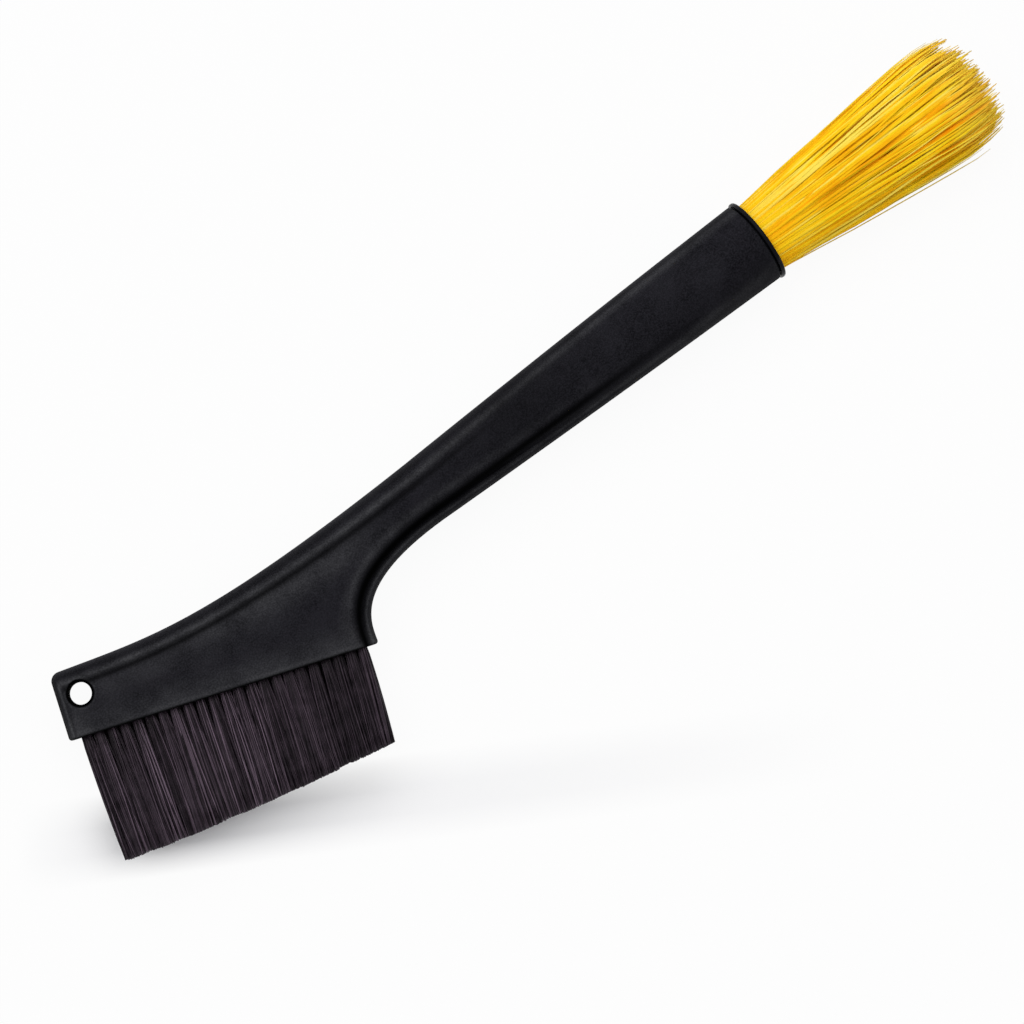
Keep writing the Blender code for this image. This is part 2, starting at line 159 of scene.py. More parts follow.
# Hang hole, from the head's lower left corner
HANG_HOLE_RADIUS = 0.00225
HANG_HOLE_LIP = 0.00065
HANG_HOLE_LIP_DEPTH = 0.0013
HANG_HOLE_LIP_END = 105
HANG_HOLE_INSET = 0.0049
HANG_HOLE_RISE = 0.0084
# Radii of the painted shade on the hang hole's lip, and of the painted highlight ring round it
RING_SHADE = (0.0027, 0.0029)
RING_HIGHLIGHT = (0.003, 0.00345)

# Black tufts
TUFT_PITCH = 0.0026
TUFT_ROW_MARGIN = 0.002
TUFT_ROW_OFFSET = 0.0019
TUFT_HOLE_RADIUS = 0.00108
TUFT_ROOT_RADIUS = 0.0009
TUFT_HOLE_DEPTH = 0.0046
BLACK_LENGTH_OUTER = 0.0257
BLACK_LENGTH_INNER = 0.0195
BLACK_TIP_INSET_OUTER = 0.0014
BLACK_TIP_INSET_INNER = 0.0008
BLACK_TRIM_BOW = 0.0007
BLACK_TIP_DEPTH = 0.0011
BLACK_STRAND_RADIUS = 0.000122
BLACK_STRANDS = 72
BLACK_RINGS = 8
BLACK_RAGGED = 0.00007
BLACK_CLUMP_STEP = 0.00016
BLACK_WANDER = 0.00036
BLACK_BEND = 0.00023
BLACK_TUFT_BEND = 0.00014
BLACK_EDGE_BOW = 0.0002
BLACK_EDGE_INSET = 0.00015
BLACK_OVERLAP_SHARE = 1.22
BLACK_BACK_OVERLAP_SHARE = 1.6
BLACK_SPLAY_POWER = 1.7
BLACK_START_SHARE = 1 / 3
BLACK_TAPER = 0.9

# Shades of the black filaments, and how they dim along the row
BLACK_SEED = 7
BLACK_TONE_BETA = (0.55, 1.8)
BLACK_TONE_ENDS = (0.84, 1.05, 0.45)
BLACK_TONE_RISES_BY = 0.4
BLACK_TONE_FALL = (0.58, 0.25)

# Collar
COLLAR_RADIUS = 0.0091
COLLAR_MOUTH_RADIUS = 0.0077
COLLAR_BEAD_LENGTH = 0.00085
COLLAR_BEAD_ROUND = 0.0003
COLLAR_MOUTH_ROUND = 0.00012
COLLAR_SLEEVE_RADIUS = 0.00775
COLLAR_BORE_RADIUS = 0.0073
COLLAR_SLEEVE_LENGTH = 0.0105
COLLAR_MOUTH_CHAMFER = 0.001
COLLAR_SHARP_ANGLE = math.radians(40)

# Yellow round brush: its envelope
KNOT_RADIUS = 0.007
KNOT_DEPTH = 0.0045
KNOT_NARROWS_OVER = 3
YELLOW_MOUTH_RADIUS = 0.0075
YELLOW_WIDEST_RADIUS = 0.0113
YELLOW_WIDEST_DEPTH = 0.0098
YELLOW_WIDEST_AT = 0.046
YELLOW_FLARE_POWER = 1.12
YELLOW_TIP_NARROWER_SHARE = 0.12
YELLOW_LENGTH = 0.0571
YELLOW_DOME = 0.0034
YELLOW_SPREAD_LIMIT = 1.04
YELLOW_LEAN = 0.0004
FLOOR_CLEARANCE = 0.00032

# Yellow round brush: its fibres
YELLOW_SEED = 11
YELLOW_STRANDS = 1500
YELLOW_SIDES = 6
YELLOW_RINGS = 10
YELLOW_RING_POWER = 1.25
YELLOW_STRAND_RADIUS = 0.00025
YELLOW_TIP_RADIUS = 0.00006
YELLOW_TAPER_FROM = 0.83
YELLOW_TAPER_POWER = 1.2
YELLOW_RAGGED = 0.0054
YELLOW_RAGGED_BETA = (1.9, 2.0)
YELLOW_WANDER = 0.0016
YELLOW_WANDER_POWER = 1.3
YELLOW_WAVE = 0.00016
YELLOW_WAVE_TURNS = (0.8, 2.2)
YELLOW_WAVE_RISE = 3
YELLOW_CORE_SHARE = 0.8
YELLOW_CORE_GROWTH = 1.35
YELLOW_STRAY = 0.0018
YELLOW_STRAY_SHARE = 0.2
YELLOW_STRAY_RANGE = (0.3, 1.0)
YELLOW_STRAY_POWER = 1.2
YELLOW_STRAY_THINNER = 0.45
YELLOW_CLUMPS = 150
YELLOW_LOCK_STEP = 0.0009
YELLOW_GATHER = 0.38
YELLOW_GATHER_FROM = 0.45
YELLOW_GATHER_POWER = 1.5
YELLOW_NORMAL_LEAN = (2.1, 1.2)
YELLOW_END_LEAN = (0.3, 2.0)

# Yellow round brush: the fibres' shades
YELLOW_TONE = 0.28
YELLOW_STRAND_TONE = 0.18
YELLOW_LOCK_TONE = 0.09
YELLOW_PALER = 0.62
YELLOW_PALE_SHARE = 0.27
# The inner fibres are painted a deeper amber: painted shade in the gaps between the outer ones
YELLOW_CORE_SHADE = 0.3
YELLOW_STRAY_PALER = 0.5

# Clearances shared with the solids
SEAT_GAP = 0.0003
GRIP_END = COLLAR_BEAD_LENGTH + SEAT_GAP
SOCKET_GAP = 0.00025
SOCKET_END_GAP = 0.001
CUT_OVERRUN = 0.001
MERGE_DISTANCE = 0.00001

# Fineness
GRIP_STATIONS = 26
TOP_STATIONS = 70
CORNER_STATIONS = 10
LEFT_STATIONS = 14
EDGE_STEPS = 5
SPANS_PER_SHARE = 5
MIDDLE_SPANS = 18
HALF_ROUND_STEPS = 16 * SPANS_PER_SHARE
ROUND_STEPS = 96
HOLE_STEPS = 24
LIP_STEPS = 8
MOUTH_STEPS = 4
BEAD_STEPS = 6
STRAND_TURN = 2.4

# Noise in the plastic, as scale, detail and roughness
PLASTIC_NOISE = {"cloud": (150, 4, 0.6), "mottle": (950, 2, 0.6), "speck": (3000, 2, 0.6),
                 "grain": (2600, 3, 0.65)}

# Linear colours. A layer is its source, the range of it, the strength at both ends and the colour.
PLASTIC_DARK = (0.0036, 0.0035, 0.0047)
PLASTIC_LAYERS = (("cloud", 0.36, 0.66, 0.0, 1.0, (0.011, 0.0107, 0.0134)),
                  ("mottle", 0.35, 0.7, 0.0, 0.38, (0.0156, 0.015, 0.0188)),
                  ("speck", 0.4, 0.66, 0.0, 0.6, (0.0228, 0.0221, 0.0275)))
# Colours of the painted highlights, then of the painted shade
PLASTIC_HIGHLIGHT = ((0.04, 0.0403, 0.0433), (0.079, 0.0797, 0.0843))
PLASTIC_SHADE = (0.0006, 0.0006, 0.0007)
COLLAR_COLOURS = ((0.0036, 0.0036, 0.0048), (0.0062, 0.0061, 0.0086))
NYLON_COLOURS = ((0.0078, 0.005, 0.0076), (0.19, 0.138, 0.182))
# The filaments are painted darker towards their roots: painted shade where they crowd at the head
NYLON_LAYERS = (("along", 0.0, 0.35, 0.6, 0.0, (0.008, 0.006, 0.0078)),)
FIBRE_AMBER = (0.86, 0.28, 0.001)
FIBRE_LAYERS = (("shade", -0.5, 0.1, 0.0, 1.0, (1.0, 0.49, 0.004)),
                ("shade", 0.1, 0.6, 0.0, 1.0, (1.0, 0.68, 0.012)),
                ("shade", 0.7, 1.1, 0.0, 1.0, (1.0, 0.78, 0.1)),
                ("along", 0.05, 0.35, 0.5, 0.0, (0.95, 0.52, 0.006)),
                ("along", 0.84, 1.0, 0.0, 0.55, (1.0, 0.74, 0.08)))
FIBRE_SHEEN = (1.0, 0.62, 0.05, 1.0)
RESIN_COLOURS = ((0.24, 0.16, 0.07), (0.42, 0.31, 0.15))
FLOOR_COLOURS = ((0.92, 0.92, 0.92), (0.94, 0.94, 0.94))
FLOOR_GLOW = (0.99, 0.99, 0.99, 1.0)
ROOM_COLOURS = ((0.08, 0.08, 0.08), (0.57, 0.57, 0.59))
WHITE = (1.0, 1.0, 1.0)

# Camera, as the photograph was taken
VIEW_TILT = math.radians(5.3)
VIEW_TURN = math.radians(36.8)
VIEW_DISTANCE = 0.72
VIEW_TARGET = (-0.07314, -0.01427, 0.0)
LENS_MM = 126.5625
SENSOR_MM = 36.0

# Floor and room. The floor's own glow is least in a wedge at the lowest bristles, whose sides are
# given by where it starts and is whole, up from a sloping line and to the right.
FLOOR_HALF_SIZE = 4.0
SHADOW_SLOPE = 0.13
SHADOW_LINE_SIDES = ((-0.004, 0.002), (0.014, 0.007))
SHADOW_RIGHT_SIDES = ((-0.02, 0.0), (0.15, 0.02))
FLOOR_GLOW_SHARES = (0.95, 0.06)
ROOM_RISE = (0.35, 0.7)

# Lamps: name, place, width, height and watts
LAMPS = (("high_softbox", (0.1, 0.62, 1.25), 1.8, 1.4, 15.2),
         ("key_strip", (-0.05, 0.8, 0.12), 1.0, 0.08, 0.5),
         ("side_strip", (0.05, -0.8, 0.1), 1.0, 0.08, 1.0))


def mix(start, end, share):
    return start + (end - start) * share


def ease(share):
    share = min(max(share, 0.0), 1.0)
    return share * share * (3 - 2 * share)


def bezier(points, share):
    """Point and direction on a cubic curve through four control points."""
    a, b, c, d = points
    rest = 1 - share
    place = rest ** 3 * a + 3 * rest ** 2 * share * b + 3 * rest * share ** 2 * c + share ** 3 * d
    heading = 3 * rest ** 2 * (b - a) + 6 * rest * share * (c - b) + 3 * share ** 2 * (d - c)
    return place, heading.normalized()


def left_of(heading):
    return Vector((-heading.y, heading.x))


def smooth_through(points, spans):
    """Points on a smooth curve through the given ones, with that many spans between two."""
    padded = [2 * points[0] - points[1]] + list(points) + [2 * points[-1] - points[-2]]
    made = []
    for a, b, c, d in zip(padded, padded[1:], padded[2:], padded[3:]):
        for i in range(spans):
            t = i / spans
            made.append(0.5 * (2 * b + (c - a) * t + (2 * a - 5 * b + 4 * c - d) * t * t
                               + (3 * b - a - 3 * c + d) * t ** 3))
    made.append(points[-1])
    return made


# Materials

def start_material(name):
    """A new material, its node tree and its shader."""
    material = bpy.data.materials.new(name)
    material.use_nodes = True
    tree = material.node_tree
    return material, tree, tree.nodes["Principled BSDF"]


def feed(node, inputs):
    """Give inputs, by name or number, a plain value or a link from another node's output."""
    for key, value in inputs.items():
        if isinstance(value, bpy.types.NodeSocket):
            node.id_data.links.new(value, node.inputs[key])
        else:
            node.inputs[key].default_value = value


def add_noise(source, scale, detail=2.0, roughness=0.5):
    node = source.id_data.nodes.new("ShaderNodeTexNoise")
    feed(node, {"Vector": source, "Scale": scale, "Detail": detail, "Roughness": roughness})
    return node.outputs["Fac"]


def add_range(source, low, high, to_low, to_high):
    node = source.id_data.nodes.new("ShaderNodeMapRange")
    feed(node, {"Value": source, "From Min": low, "From Max": high,
                "To Min": to_low, "To Max": to_high})
    return node.outputs["Result"]


def add_math(operation, first, second):
    node = first.id_data.nodes.new("ShaderNodeMath")
    node.operation = operation
    feed(node, {0: first, 1: second})
    return node.outputs["Value"]


def add_mix(share, first, second):
    """Mix of two colours; each is a socket or three numbers."""
    node = share.id_data.nodes.new("ShaderNodeMix")
    node.data_type = "RGBA"
    for key, value in ((6, first), (7, second)):
        feed(node, {key: (*value, 1.0) if isinstance(value, tuple) else value})
    feed(node, {"Factor": share})
    return node.outputs[2]


def add_layers(colour, sources, layers):
    for source, low, high, to_low, to_high, added in layers:
        colour = add_mix(add_range(sources[source], low, high, to_low, to_high), colour, added)
    return colour


def add_bump(height, strength, distance):
    node = height.id_data.nodes.new("ShaderNodeBump")
    feed(node, {"Height": height, "Strength": strength, "Distance": distance})
    return node.outputs["Normal"]


def object_coordinates(tree):
    return tree.nodes.new("ShaderNodeTexCoord").outputs["Object"]


def attribute(tree, name):
    node = tree.nodes.new("ShaderNodeAttribute")
    node.attribute_name = name
    return node.outputs["Fac"]


def split_vector(source):
    node = source.id_data.nodes.new("ShaderNodeSeparateXYZ")
    feed(node, {"Vector": source})
    return node.outputs


def distance_in_plan(place, centre):
    """Distance from the upright line through a centre."""
    flat = place.id_data.nodes.new("ShaderNodeVectorMath")
    flat.operation = "MULTIPLY"
    feed(flat, {0: place, 1: (1.0, 1.0, 0.0)})
    node = place.id_data.nodes.new("ShaderNodeVectorMath")
    node.operation = "DISTANCE"
    feed(node, {0: flat.outputs["Vector"], 1: (centre.x, centre.y, 0.0)})
    return node.outputs["Value"]


def matte_plastic(hole):
    """Black moulded plastic with a fine spark-eroded texture, with painted highlights on its
    crests.

    Painted shade lies in its recesses and on its dim sides. The hang hole's lip is painted in
    shade, and a faint painted highlight ring runs round it.
    """
    material, tree, shader = start_material("handle_plastic")
    place = object_coordinates(tree)
    noise = {name: add_noise(place, *values) for name, values in PLASTIC_NOISE.items()}
    colour = add_layers(PLASTIC_DARK, noise, PLASTIC_LAYERS)
    uneven = add_range(noise["cloud"], 0.36, 0.62, 0.5, 1.1)
    # Painted highlights and lighter bands, made patchy by the cloud noise
    light_share = add_math("MULTIPLY", attribute(tree, "painted_light"), uneven)
    from_hole = distance_in_plan(place, hole)
    # A faint painted highlight ring round the hang hole
    ring = add_math("MULTIPLY", add_range(from_hole, RING_SHADE[1], RING_HIGHLIGHT[0], 0.0, 1.0),
                    add_range(from_hole, *RING_HIGHLIGHT, 0.22, 0.0))
    light_mark = add_mix(add_range(noise["speck"], 0.36, 0.68, 0.0, 1.0), *PLASTIC_HIGHLIGHT)
    colour = add_mix(add_math("ADD", light_share, ring), colour, light_mark)
    # The hang hole's lip is painted in shade
    lip = add_range(from_hole, *RING_SHADE, 1.0, 0.0)
    painted_shade = add_math("MAXIMUM", attribute(tree, "painted_shade"), lip)
    rough = add_range(noise["mottle"], 0.3, 0.7, 0.58, 0.68)
    feed(shader, {"Base Color": add_mix(painted_shade, colour, PLASTIC_SHADE),
                  "Roughness": add_math("MAXIMUM", rough, painted_shade), "Specular IOR Level": 0.02,
                  "Normal": add_bump(noise["grain"], 0.45, 0.00006)})
    return material


def gloss_plastic():
    """Shiny black collar with a little haze in its colour and its shine."""
    material, tree, shader = start_material("collar_plastic")
    place = object_coordinates(tree)
    haze = add_noise(place, 700.0, 3.0)
    colour = add_mix(add_range(haze, 0.35, 0.7, 0.0, 1.0), *COLLAR_COLOURS)
    feed(shader, {"Base Color": colour, "Roughness": add_range(haze, 0.3, 0.7, 0.2, 0.3),
                  "Specular IOR Level": 0.04,
                  "Normal": add_bump(add_noise(place, 1800.0), 0.12, 0.00003)})
    return material


def strand_shade(tone, scale, spread):
    """A strand's own tone, uneven along it by a noise of that scale and spread."""
    noise = add_noise(object_coordinates(tone.id_data), scale)
    return add_math("ADD", tone, add_range(noise, 0.3, 0.7, -spread, spread))


def black_nylon():
    """Drawn black nylon with a purplish cast; each filament has its own shade."""
    material, tree, shader = start_material("black_bristle")
    tone = attribute(tree, "tone")
    colour = add_mix(strand_shade(tone, 420.0, 0.06), *NYLON_COLOURS)
    colour = add_layers(colour, {"along": attribute(tree, "along")}, NYLON_LAYERS)
    feed(shader, {"Base Color": colour, "Specular IOR Level": 0.14,
                  "Roughness": add_range(tone, 0.0, 1.0, 0.46, 0.32)})
    return material


def yellow_fibre():
    """Soft yellow fibre, from amber to straw, paler towards its frayed tips."""
    material, tree, shader = start_material("yellow_bristle")
    tone = attribute(tree, "tone")
    sources = {"shade": strand_shade(tone, 160.0, 0.2), "along": attribute(tree, "along")}
    feed(shader, {"Base Color": add_layers(FIBRE_AMBER, sources, FIBRE_LAYERS),
                  "Roughness": add_range(tone, 0.0, 1.0, 0.52, 0.42), "Specular IOR Level": 0.03,
                  "Sheen Weight": 0.3, "Sheen Roughness": 0.5, "Sheen Tint": FIBRE_SHEEN})
    return material


def cast_resin():
    material, tree, shader = start_material("resin")
    place = object_coordinates(tree)
    feed(shader, {"Base Color": add_mix(add_noise(place, 300.0, 3.0), *RESIN_COLOURS),
                  "Roughness": add_range(add_noise(place, 900.0), 0.3, 0.7, 0.25, 0.4)})
    return material


# Places shared with the solids. Those in plan are measured from the collar's front face.

ROW_ALONG = Vector((math.cos(HEAD_ANGLE), -math.sin(HEAD_ANGLE)))
ROW_UP = left_of(ROW_ALONG)
TOP_BACK = Vector((math.cos(TOP_EDGE_ANGLE), -math.sin(TOP_EDGE_ANGLE)))
ROOT_CORNER = Vector((-HEAD_REACH, -HEAD_DROP))
LEFT_CORNER = ROOT_CORNER - HEAD_WIDTH * ROW_ALONG
TOP_CORNER = LEFT_CORNER + HEAD_HEIGHT * ROW_UP


def brush_origin():
    """Centre of the collar's front face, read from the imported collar."""
    low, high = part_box("end_collar")
    middle = (low + high) / 2
    return Vector((high.x, middle.y, middle.z))


def root_row_matrix():
    """Local X runs along the root line, local Z points out of the root face."""
    turn = Matrix.Rotation(-HEAD_ANGLE, 4, "Z") @ Matrix.Rotation(math.pi / 2, 4, "X")
    return Matrix.Translation(brush_origin() + LEFT_CORNER.to_3d()) @ turn


def grip_axis_matrix():
    """Local Z runs along the grip's axis towards the yellow brush."""
    return Matrix.Translation(brush_origin()) @ Matrix.Rotation(math.pi / 2, 4, "Y")


# Outline of the handle

def half_widths(distance):
    share = distance / GRIP_LENGTH
    swell = 4 * GRIP_SWELL * share * (1 - share)
    return (mix(GRIP_END_RADIUS, NECK_LOWER_WIDTH, share) + swell,
            mix(GRIP_END_RADIUS, NECK_UPPER_WIDTH, share) + swell)


def grip_rows():
    rows = []
    first = GRIP_END + HANDLE_END_ROUND
    for i in range(GRIP_STATIONS):
        distance = mix(first, GRIP_LENGTH, i / GRIP_STATIONS)
        lower, upper = half_widths(distance)
        rows.append({"inner": Vector((-distance, -lower)), "into_inner": Vector((0, 1)),
                     "outer": Vector((-distance, upper)), "into_outer": Vector((0, -1)),
                     "run": None, "rim_width": RIM_WIDTH, "leftness": 0.0, "head_share": 0.0})
    return rows


def notch_curve():
    start = Vector((-GRIP_LENGTH, -NECK_LOWER_WIDTH))
    heading = Vector((-GRIP_LENGTH, GRIP_END_RADIUS - NECK_LOWER_WIDTH)).normalized()
    return (start, start + NOTCH_SWEEP_NECK * heading,
            ROOT_CORNER + NOTCH_SWEEP_ROOT * ROW_UP, ROOT_CORNER)


def top_curve():
    start = Vector((-GRIP_LENGTH, NECK_UPPER_WIDTH))
    heading = Vector((-GRIP_LENGTH, NECK_UPPER_WIDTH - GRIP_END_RADIUS)).normalized()
    return (start, start + TOP_SWEEP_NECK * heading,
            TOP_CORNER + TOP_SWEEP_HEAD * TOP_BACK, TOP_CORNER)


def rim_line(across, left_across):
    """A line inside the head's edges: its last share of the top curve, corner and left start."""
    sideways = TOP_BACK.dot(ROW_ALONG)
    below = across / ROW_UP.dot(left_of(TOP_BACK))
    corner = TOP_CORNER + TOP_BACK * left_across / sideways - ROW_UP * below
    turn = max(RIM_TURN_MIN, HEAD_CORNER_RADIUS - left_across)
    low, high = RIM_CORNER_SHARE, 1.0
    for _ in range(RIM_SEARCH_STEPS):
        middle = (low + high) / 2
        place, heading = bezier(top_curve(), middle)
        inset = (place + left_of(heading) * across - TOP_CORNER).dot(ROW_ALONG)
        low, high = (middle, high) if inset > left_across + turn * sideways else (low, middle)
    return low, corner, corner - ROW_UP * turn


def outer_place(run, across, shrink=0.0):
    """Place on the line that far in from the outer edge, at a row's part and share of the run."""
    part, share = run
    left_across = across * RIM_WIDTH_LEFT / RIM_WIDTH_HEAD + shrink
    across += shrink
    if part == "top" and share <= RIM_CORNER_SHARE:
        place, heading = bezier(top_curve(), share)
        return place + left_of(heading) * across
    last_share, corner, left_start = rim_line(across, left_across)
    if part == "top":
        share = (share - RIM_CORNER_SHARE) / (1 - RIM_CORNER_SHARE)
        place, heading = bezier(top_curve(), mix(RIM_CORNER_SHARE, last_share, share))
        return place + left_of(heading) * across
    place, heading = bezier(top_curve(), last_share)
    top_end = place + left_of(heading) * across
    if part == "corner":
        handles = [end.lerp(corner, TURN_HANDLE_SHARE) for end in (top_end, left_start)]
        return bezier((top_end, *handles, left_start), share)[0]
    bottom = LEFT_CORNER + ROOT_EDGE_ROUND * ROW_UP + left_across * ROW_ALONG
    return left_start.lerp(bottom, share)


def head_rows():
    notch = notch_curve()
    rows = []

    def add(inner_share, part, share, into_outer, width, leftness):
        inner, heading = bezier(notch, inner_share)
        outer = outer_place((part, share), 0.0)
        rows.append({"inner": inner, "into_inner": -left_of(heading), "outer": outer,
                     "into_outer": into_outer, "run": (part, share), "rim_width": width,
                     "leftness": leftness, "head_share": inner_share})

    for i in range(TOP_STATIONS):
        share = i / TOP_STATIONS
        heading = bezier(top_curve(), share)[1]
        width = mix(RIM_WIDTH, RIM_WIDTH_HEAD, ease(share / RIM_HEAD_SHARE))
        inner_share = NOTCH_SHARE_OF_TOP * share ** TOP_SPACING_POWER
        add(inner_share, "top", share, left_of(heading), width, 0.0)
    down = -left_of(TOP_BACK)
    for i in range(CORNER_STATIONS + 1):
        share = i / CORNER_STATIONS
        inner_share = mix(NOTCH_SHARE_OF_TOP, NOTCH_SHARE_OF_CORNER, share)
        into = down.lerp(ROW_ALONG, share).normalized()
        add(inner_share, "corner", share, into, RIM_WIDTH_HEAD, ease(share))
    end_share = 1 - ROOT_EDGE_ROUND / (3 * NOTCH_SWEEP_ROOT)
    for i in range(1, LEFT_STATIONS + 1):
        share = i / LEFT_STATIONS
        inner_share = mix(NOTCH_SHARE_OF_CORNER, end_share, share)
        add(inner_share, "left", share, ROW_ALONG, RIM_WIDTH_HEAD, 1.0)
    return rows


# Cross-section of the handle

def relief_section(row):
    """Smooth lines of (distance from an edge, half thickness), in from either edge."""
    share = ease(row["head_share"] / THINNING_SHARE)
    web = mix(WEB_HALF_NECK, WEB_HALF_HEAD, share)
    rim = mix(RIM_HALF_NECK, RIM_HALF_HEAD, share)
    bead = mix(BEAD_HALF_NECK, BEAD_HALF_HEAD, share)
    rising = ease((row["head_share"] - DEEP_GROOVE_SHARE) / (1 - DEEP_GROOVE_SHARE))
    groove = mix(GROOVE_HALF_NECK, GROOVE_HALF_ROOT, rising)
    shoulder = mix(SHOULDER_WIDTH_NECK, SHOULDER_WIDTH_HEAD, ease(row["head_share"]))
    inner = [Vector((BEAD_WIDTH * across, bead * rise)) for across, rise in BEAD_SHARES]
    inner.append(Vector((BEAD_WIDTH, groove)))
    for across, rise in SHOULDER_SHARES:
        inner.append(Vector((BEAD_WIDTH + shoulder * across, mix(groove, web, rise))))
    width = row["rim_width"]
    outer = [Vector((width * across, rim * rise)) for across, rise in RIM_SHARES]
    outer.append(Vector((width * CHANNEL_SHARE, web - CHANNEL_DEPTH * (1 - row["leftness"]))))
    outer.append(Vector((width * RIM_FOOT_SHARE, web)))
    return smooth_through(inner, SPANS_PER_SHARE), web, smooth_through(outer, SPANS_PER_SHARE)


def bump(value, middle, reach):
    """1 at the middle, less and less on both sides."""
    return math.exp(-((value - middle) / reach) ** 2)


def mix_line(first, second, share):
    """A mark's place and half reach, between those of two others."""
    return [mix(a, b, share) for a, b in zip(first, second)]


def painted_light_share(row, relief, from_inner, from_outer, from_root):
    """How much painted light a point has: painted highlight lines on crests, the bead, the ridge
    and the edge, and lighter bands beside the rim and along the root edge.
    """
    near_collar = 1 - ease(-row["inner"].x / BEAD_NARROWS_BY)
    crest = mix_line(CREST_ON_GRIP, (RIM_SHARES[-1][0] * row["rim_width"], CREST_REACH), relief)
    bead = mix_line(BEAD_LINE, BEAD_LINE_AT_COLLAR, near_collar)
    light_mark = mix(*CREST_STRENGTHS, relief) * bump(from_outer, *crest)
    light_mark += mix(*BEAD_STRENGTHS, near_collar) * bump(from_inner, *bead)
    light_mark += RIDGE_STRENGTH * relief * bump(from_inner, *RIDGE_LINE)
    light_mark += EDGE_LIGHT[0] * (1 - row["leftness"]) * bump(from_outer, 0.0, EDGE_LIGHT[1])
    rise, fall = [ease((row["head_share"] - start) / span)
                  for start, span in (BESIDE_RIM_RISE, BESIDE_RIM_FALL)]
    foot = row["rim_width"] * RIM_FOOT_SHARE + BESIDE_RIM[0]
    light_mark += rise * mix(*BESIDE_RIM_STRENGTHS, fall) * bump(from_outer, foot, BESIDE_RIM[1])
    light_mark += (ROOT_STRENGTH * ease(1 - from_root / ROOT_REACH)
             + ROOT_LINE_STRENGTH * bump(from_root, *ROOT_LINE))
    return min(1.0, light_mark)


def painted_shade_share(row, relief, from_inner, from_outer):
    """How much painted shade a point has, in recesses, along edges and on dim sides, and how dull
    the plastic is there.
    """
    width, leftness, distance = row["rim_width"], row["leftness"], -row["inner"].x
    channel = CHANNEL_STRENGTH * relief * mix(1.0, CHANNEL_LEFT_SHARE, leftness)
    channel *= bump(from_outer, width * CHANNEL_SHARE, width * CHANNEL_REACH_SHARE)
    band = mix(*BAND_STRENGTHS, max(relief, ease(distance / BAND_DEEP_BY)))
    band *= bump(from_inner, *mix_line(BAND_ON_GRIP, BAND_ON_HEAD, relief))
    on_grip = 1 - ease(row["head_share"] / SHADE_FADES_SHARE)
    low_side = SHADE_LOW_SIDE * on_grip * ease(1 - from_inner / SHADE_REACH)
    neck = SHADE_NECK * bump(distance, *SHADE_NECK_PLACE)
    edge = EDGE_SHADE[0] * bump(from_inner, 0.0, EDGE_SHADE[1])
    left_edge = LEFT_EDGE_SHADE[0] * leftness * bump(from_outer, 0.0, LEFT_EDGE_SHADE[1])
    dip = DIP_STRENGTH * (1 - leftness)
    dip *= bump(from_outer, *mix_line(DIP_ON_GRIP, DIP_ON_HEAD, relief))
    return min(1.0, max(channel, band, low_side, neck, edge, left_edge, dip))


def far_from_outer(place, row):
    """Distance of a place on the web from the outer edge, as across the top rim."""
    if row["leftness"]:
        from_left = (place - LEFT_CORNER).dot(ROW_ALONG) * RIM_WIDTH_HEAD / RIM_WIDTH_LEFT
        return min(from_left, (place - TOP_CORNER).dot(-left_of(TOP_BACK)))
    return (place - row["outer"]).dot(row["into_outer"])


def section_points(row, shrink=0.0):
    """Plan place, half thickness, painted light share and painted shade share of every point on one
    rib.
    """
    inner, web, outer = relief_section(row)
    radius = (row["outer"] - row["inner"]).length / 2
    distance = -row["inner"].x
    relief = ease((distance - RELIEF_START) / (RELIEF_FULL - RELIEF_START))
    square = ease((distance - SQUARE_FROM) / (SQUARE_FULL - SQUARE_FROM))
    power = 2 / mix(2.0, GRIP_SQUARENESS, square)
    rib = (row["outer"] - row["inner"]).normalized()
    inner_step = rib / rib.dot(row["into_inner"])

    def on_round(step):
        angle = math.pi * step / HALF_ROUND_STEPS
        across = math.copysign(abs(math.cos(angle)) ** power, math.cos(angle))
        return radius * (1 - across), radius * math.sin(angle) ** power

    def beside_edge(line):
        for i, flat in enumerate(line):
            across, rise = on_round(i)
            yield mix(across, flat.x, relief), mix(rise, flat.y, relief)

    points = []
    for across, rise in beside_edge(inner):
        place = row["inner"] + inner_step * (across + shrink)
        points.append((place, rise, far_from_outer(place, row)))
    ends = []
    for across, rise in beside_edge(outer):
        if row["run"]:
            place = outer_place(row["run"], across, shrink)
        else:
            place = row["outer"] + row["into_outer"] * (across + shrink)
        ends.append((place, rise, across))
    start, end = points[-1][0], ends[-1][0]
    steps = len(inner) - 1, HALF_ROUND_STEPS - len(outer) + 1
    low, high = [on_round(step)[0] for step in steps]
    for i in range(1, MIDDLE_SPANS):
        even = i / MIDDLE_SPANS
        across, rise = on_round(mix(*steps, even))
        turned = (across - low) / (high - low)
        place = start.lerp(end, mix(turned, even, relief))
        points.append((place, mix(rise, web, relief), far_from_outer(place, row)))
    points.extend(reversed(ends))
    made = []
    for place, rise, from_outer in points:
        from_inner = (place - row["inner"]).dot(row["into_inner"])
        from_root = (place - LEFT_CORNER).dot(ROW_UP)
        made.append((place, max(rise - shrink, 0.0) if rise else 0.0,
                     painted_light_share(row, relief, from_inner, from_outer, from_root),
                     painted_shade_share(row, relief, from_inner, from_outer)))
    return made


def finish_mesh(bm, name):
    mesh = bpy.data.meshes.new(name)
    bm.to_mesh(mesh)
    bm.free()
    return mesh


def section_loop(bm, layers, row, offset=Vector((0.0, 0.0)), shrink=0.0, shaded=0.0):
    points = section_points(row, shrink)
    below = [(place, -height, light_mark, painted_shade) for place, height, light_mark, painted_shade in points[-2:0:-1]]
    loop = []
    for place, height, light_mark, painted_shade in points + below:
        vertex = bm.verts.new((place.x + offset.x, place.y + offset.y, height))
        vertex[layers[0]] = light_mark
        vertex[layers[1]] = max(painted_shade, shaded)
        loop.append(vertex)
    return loop


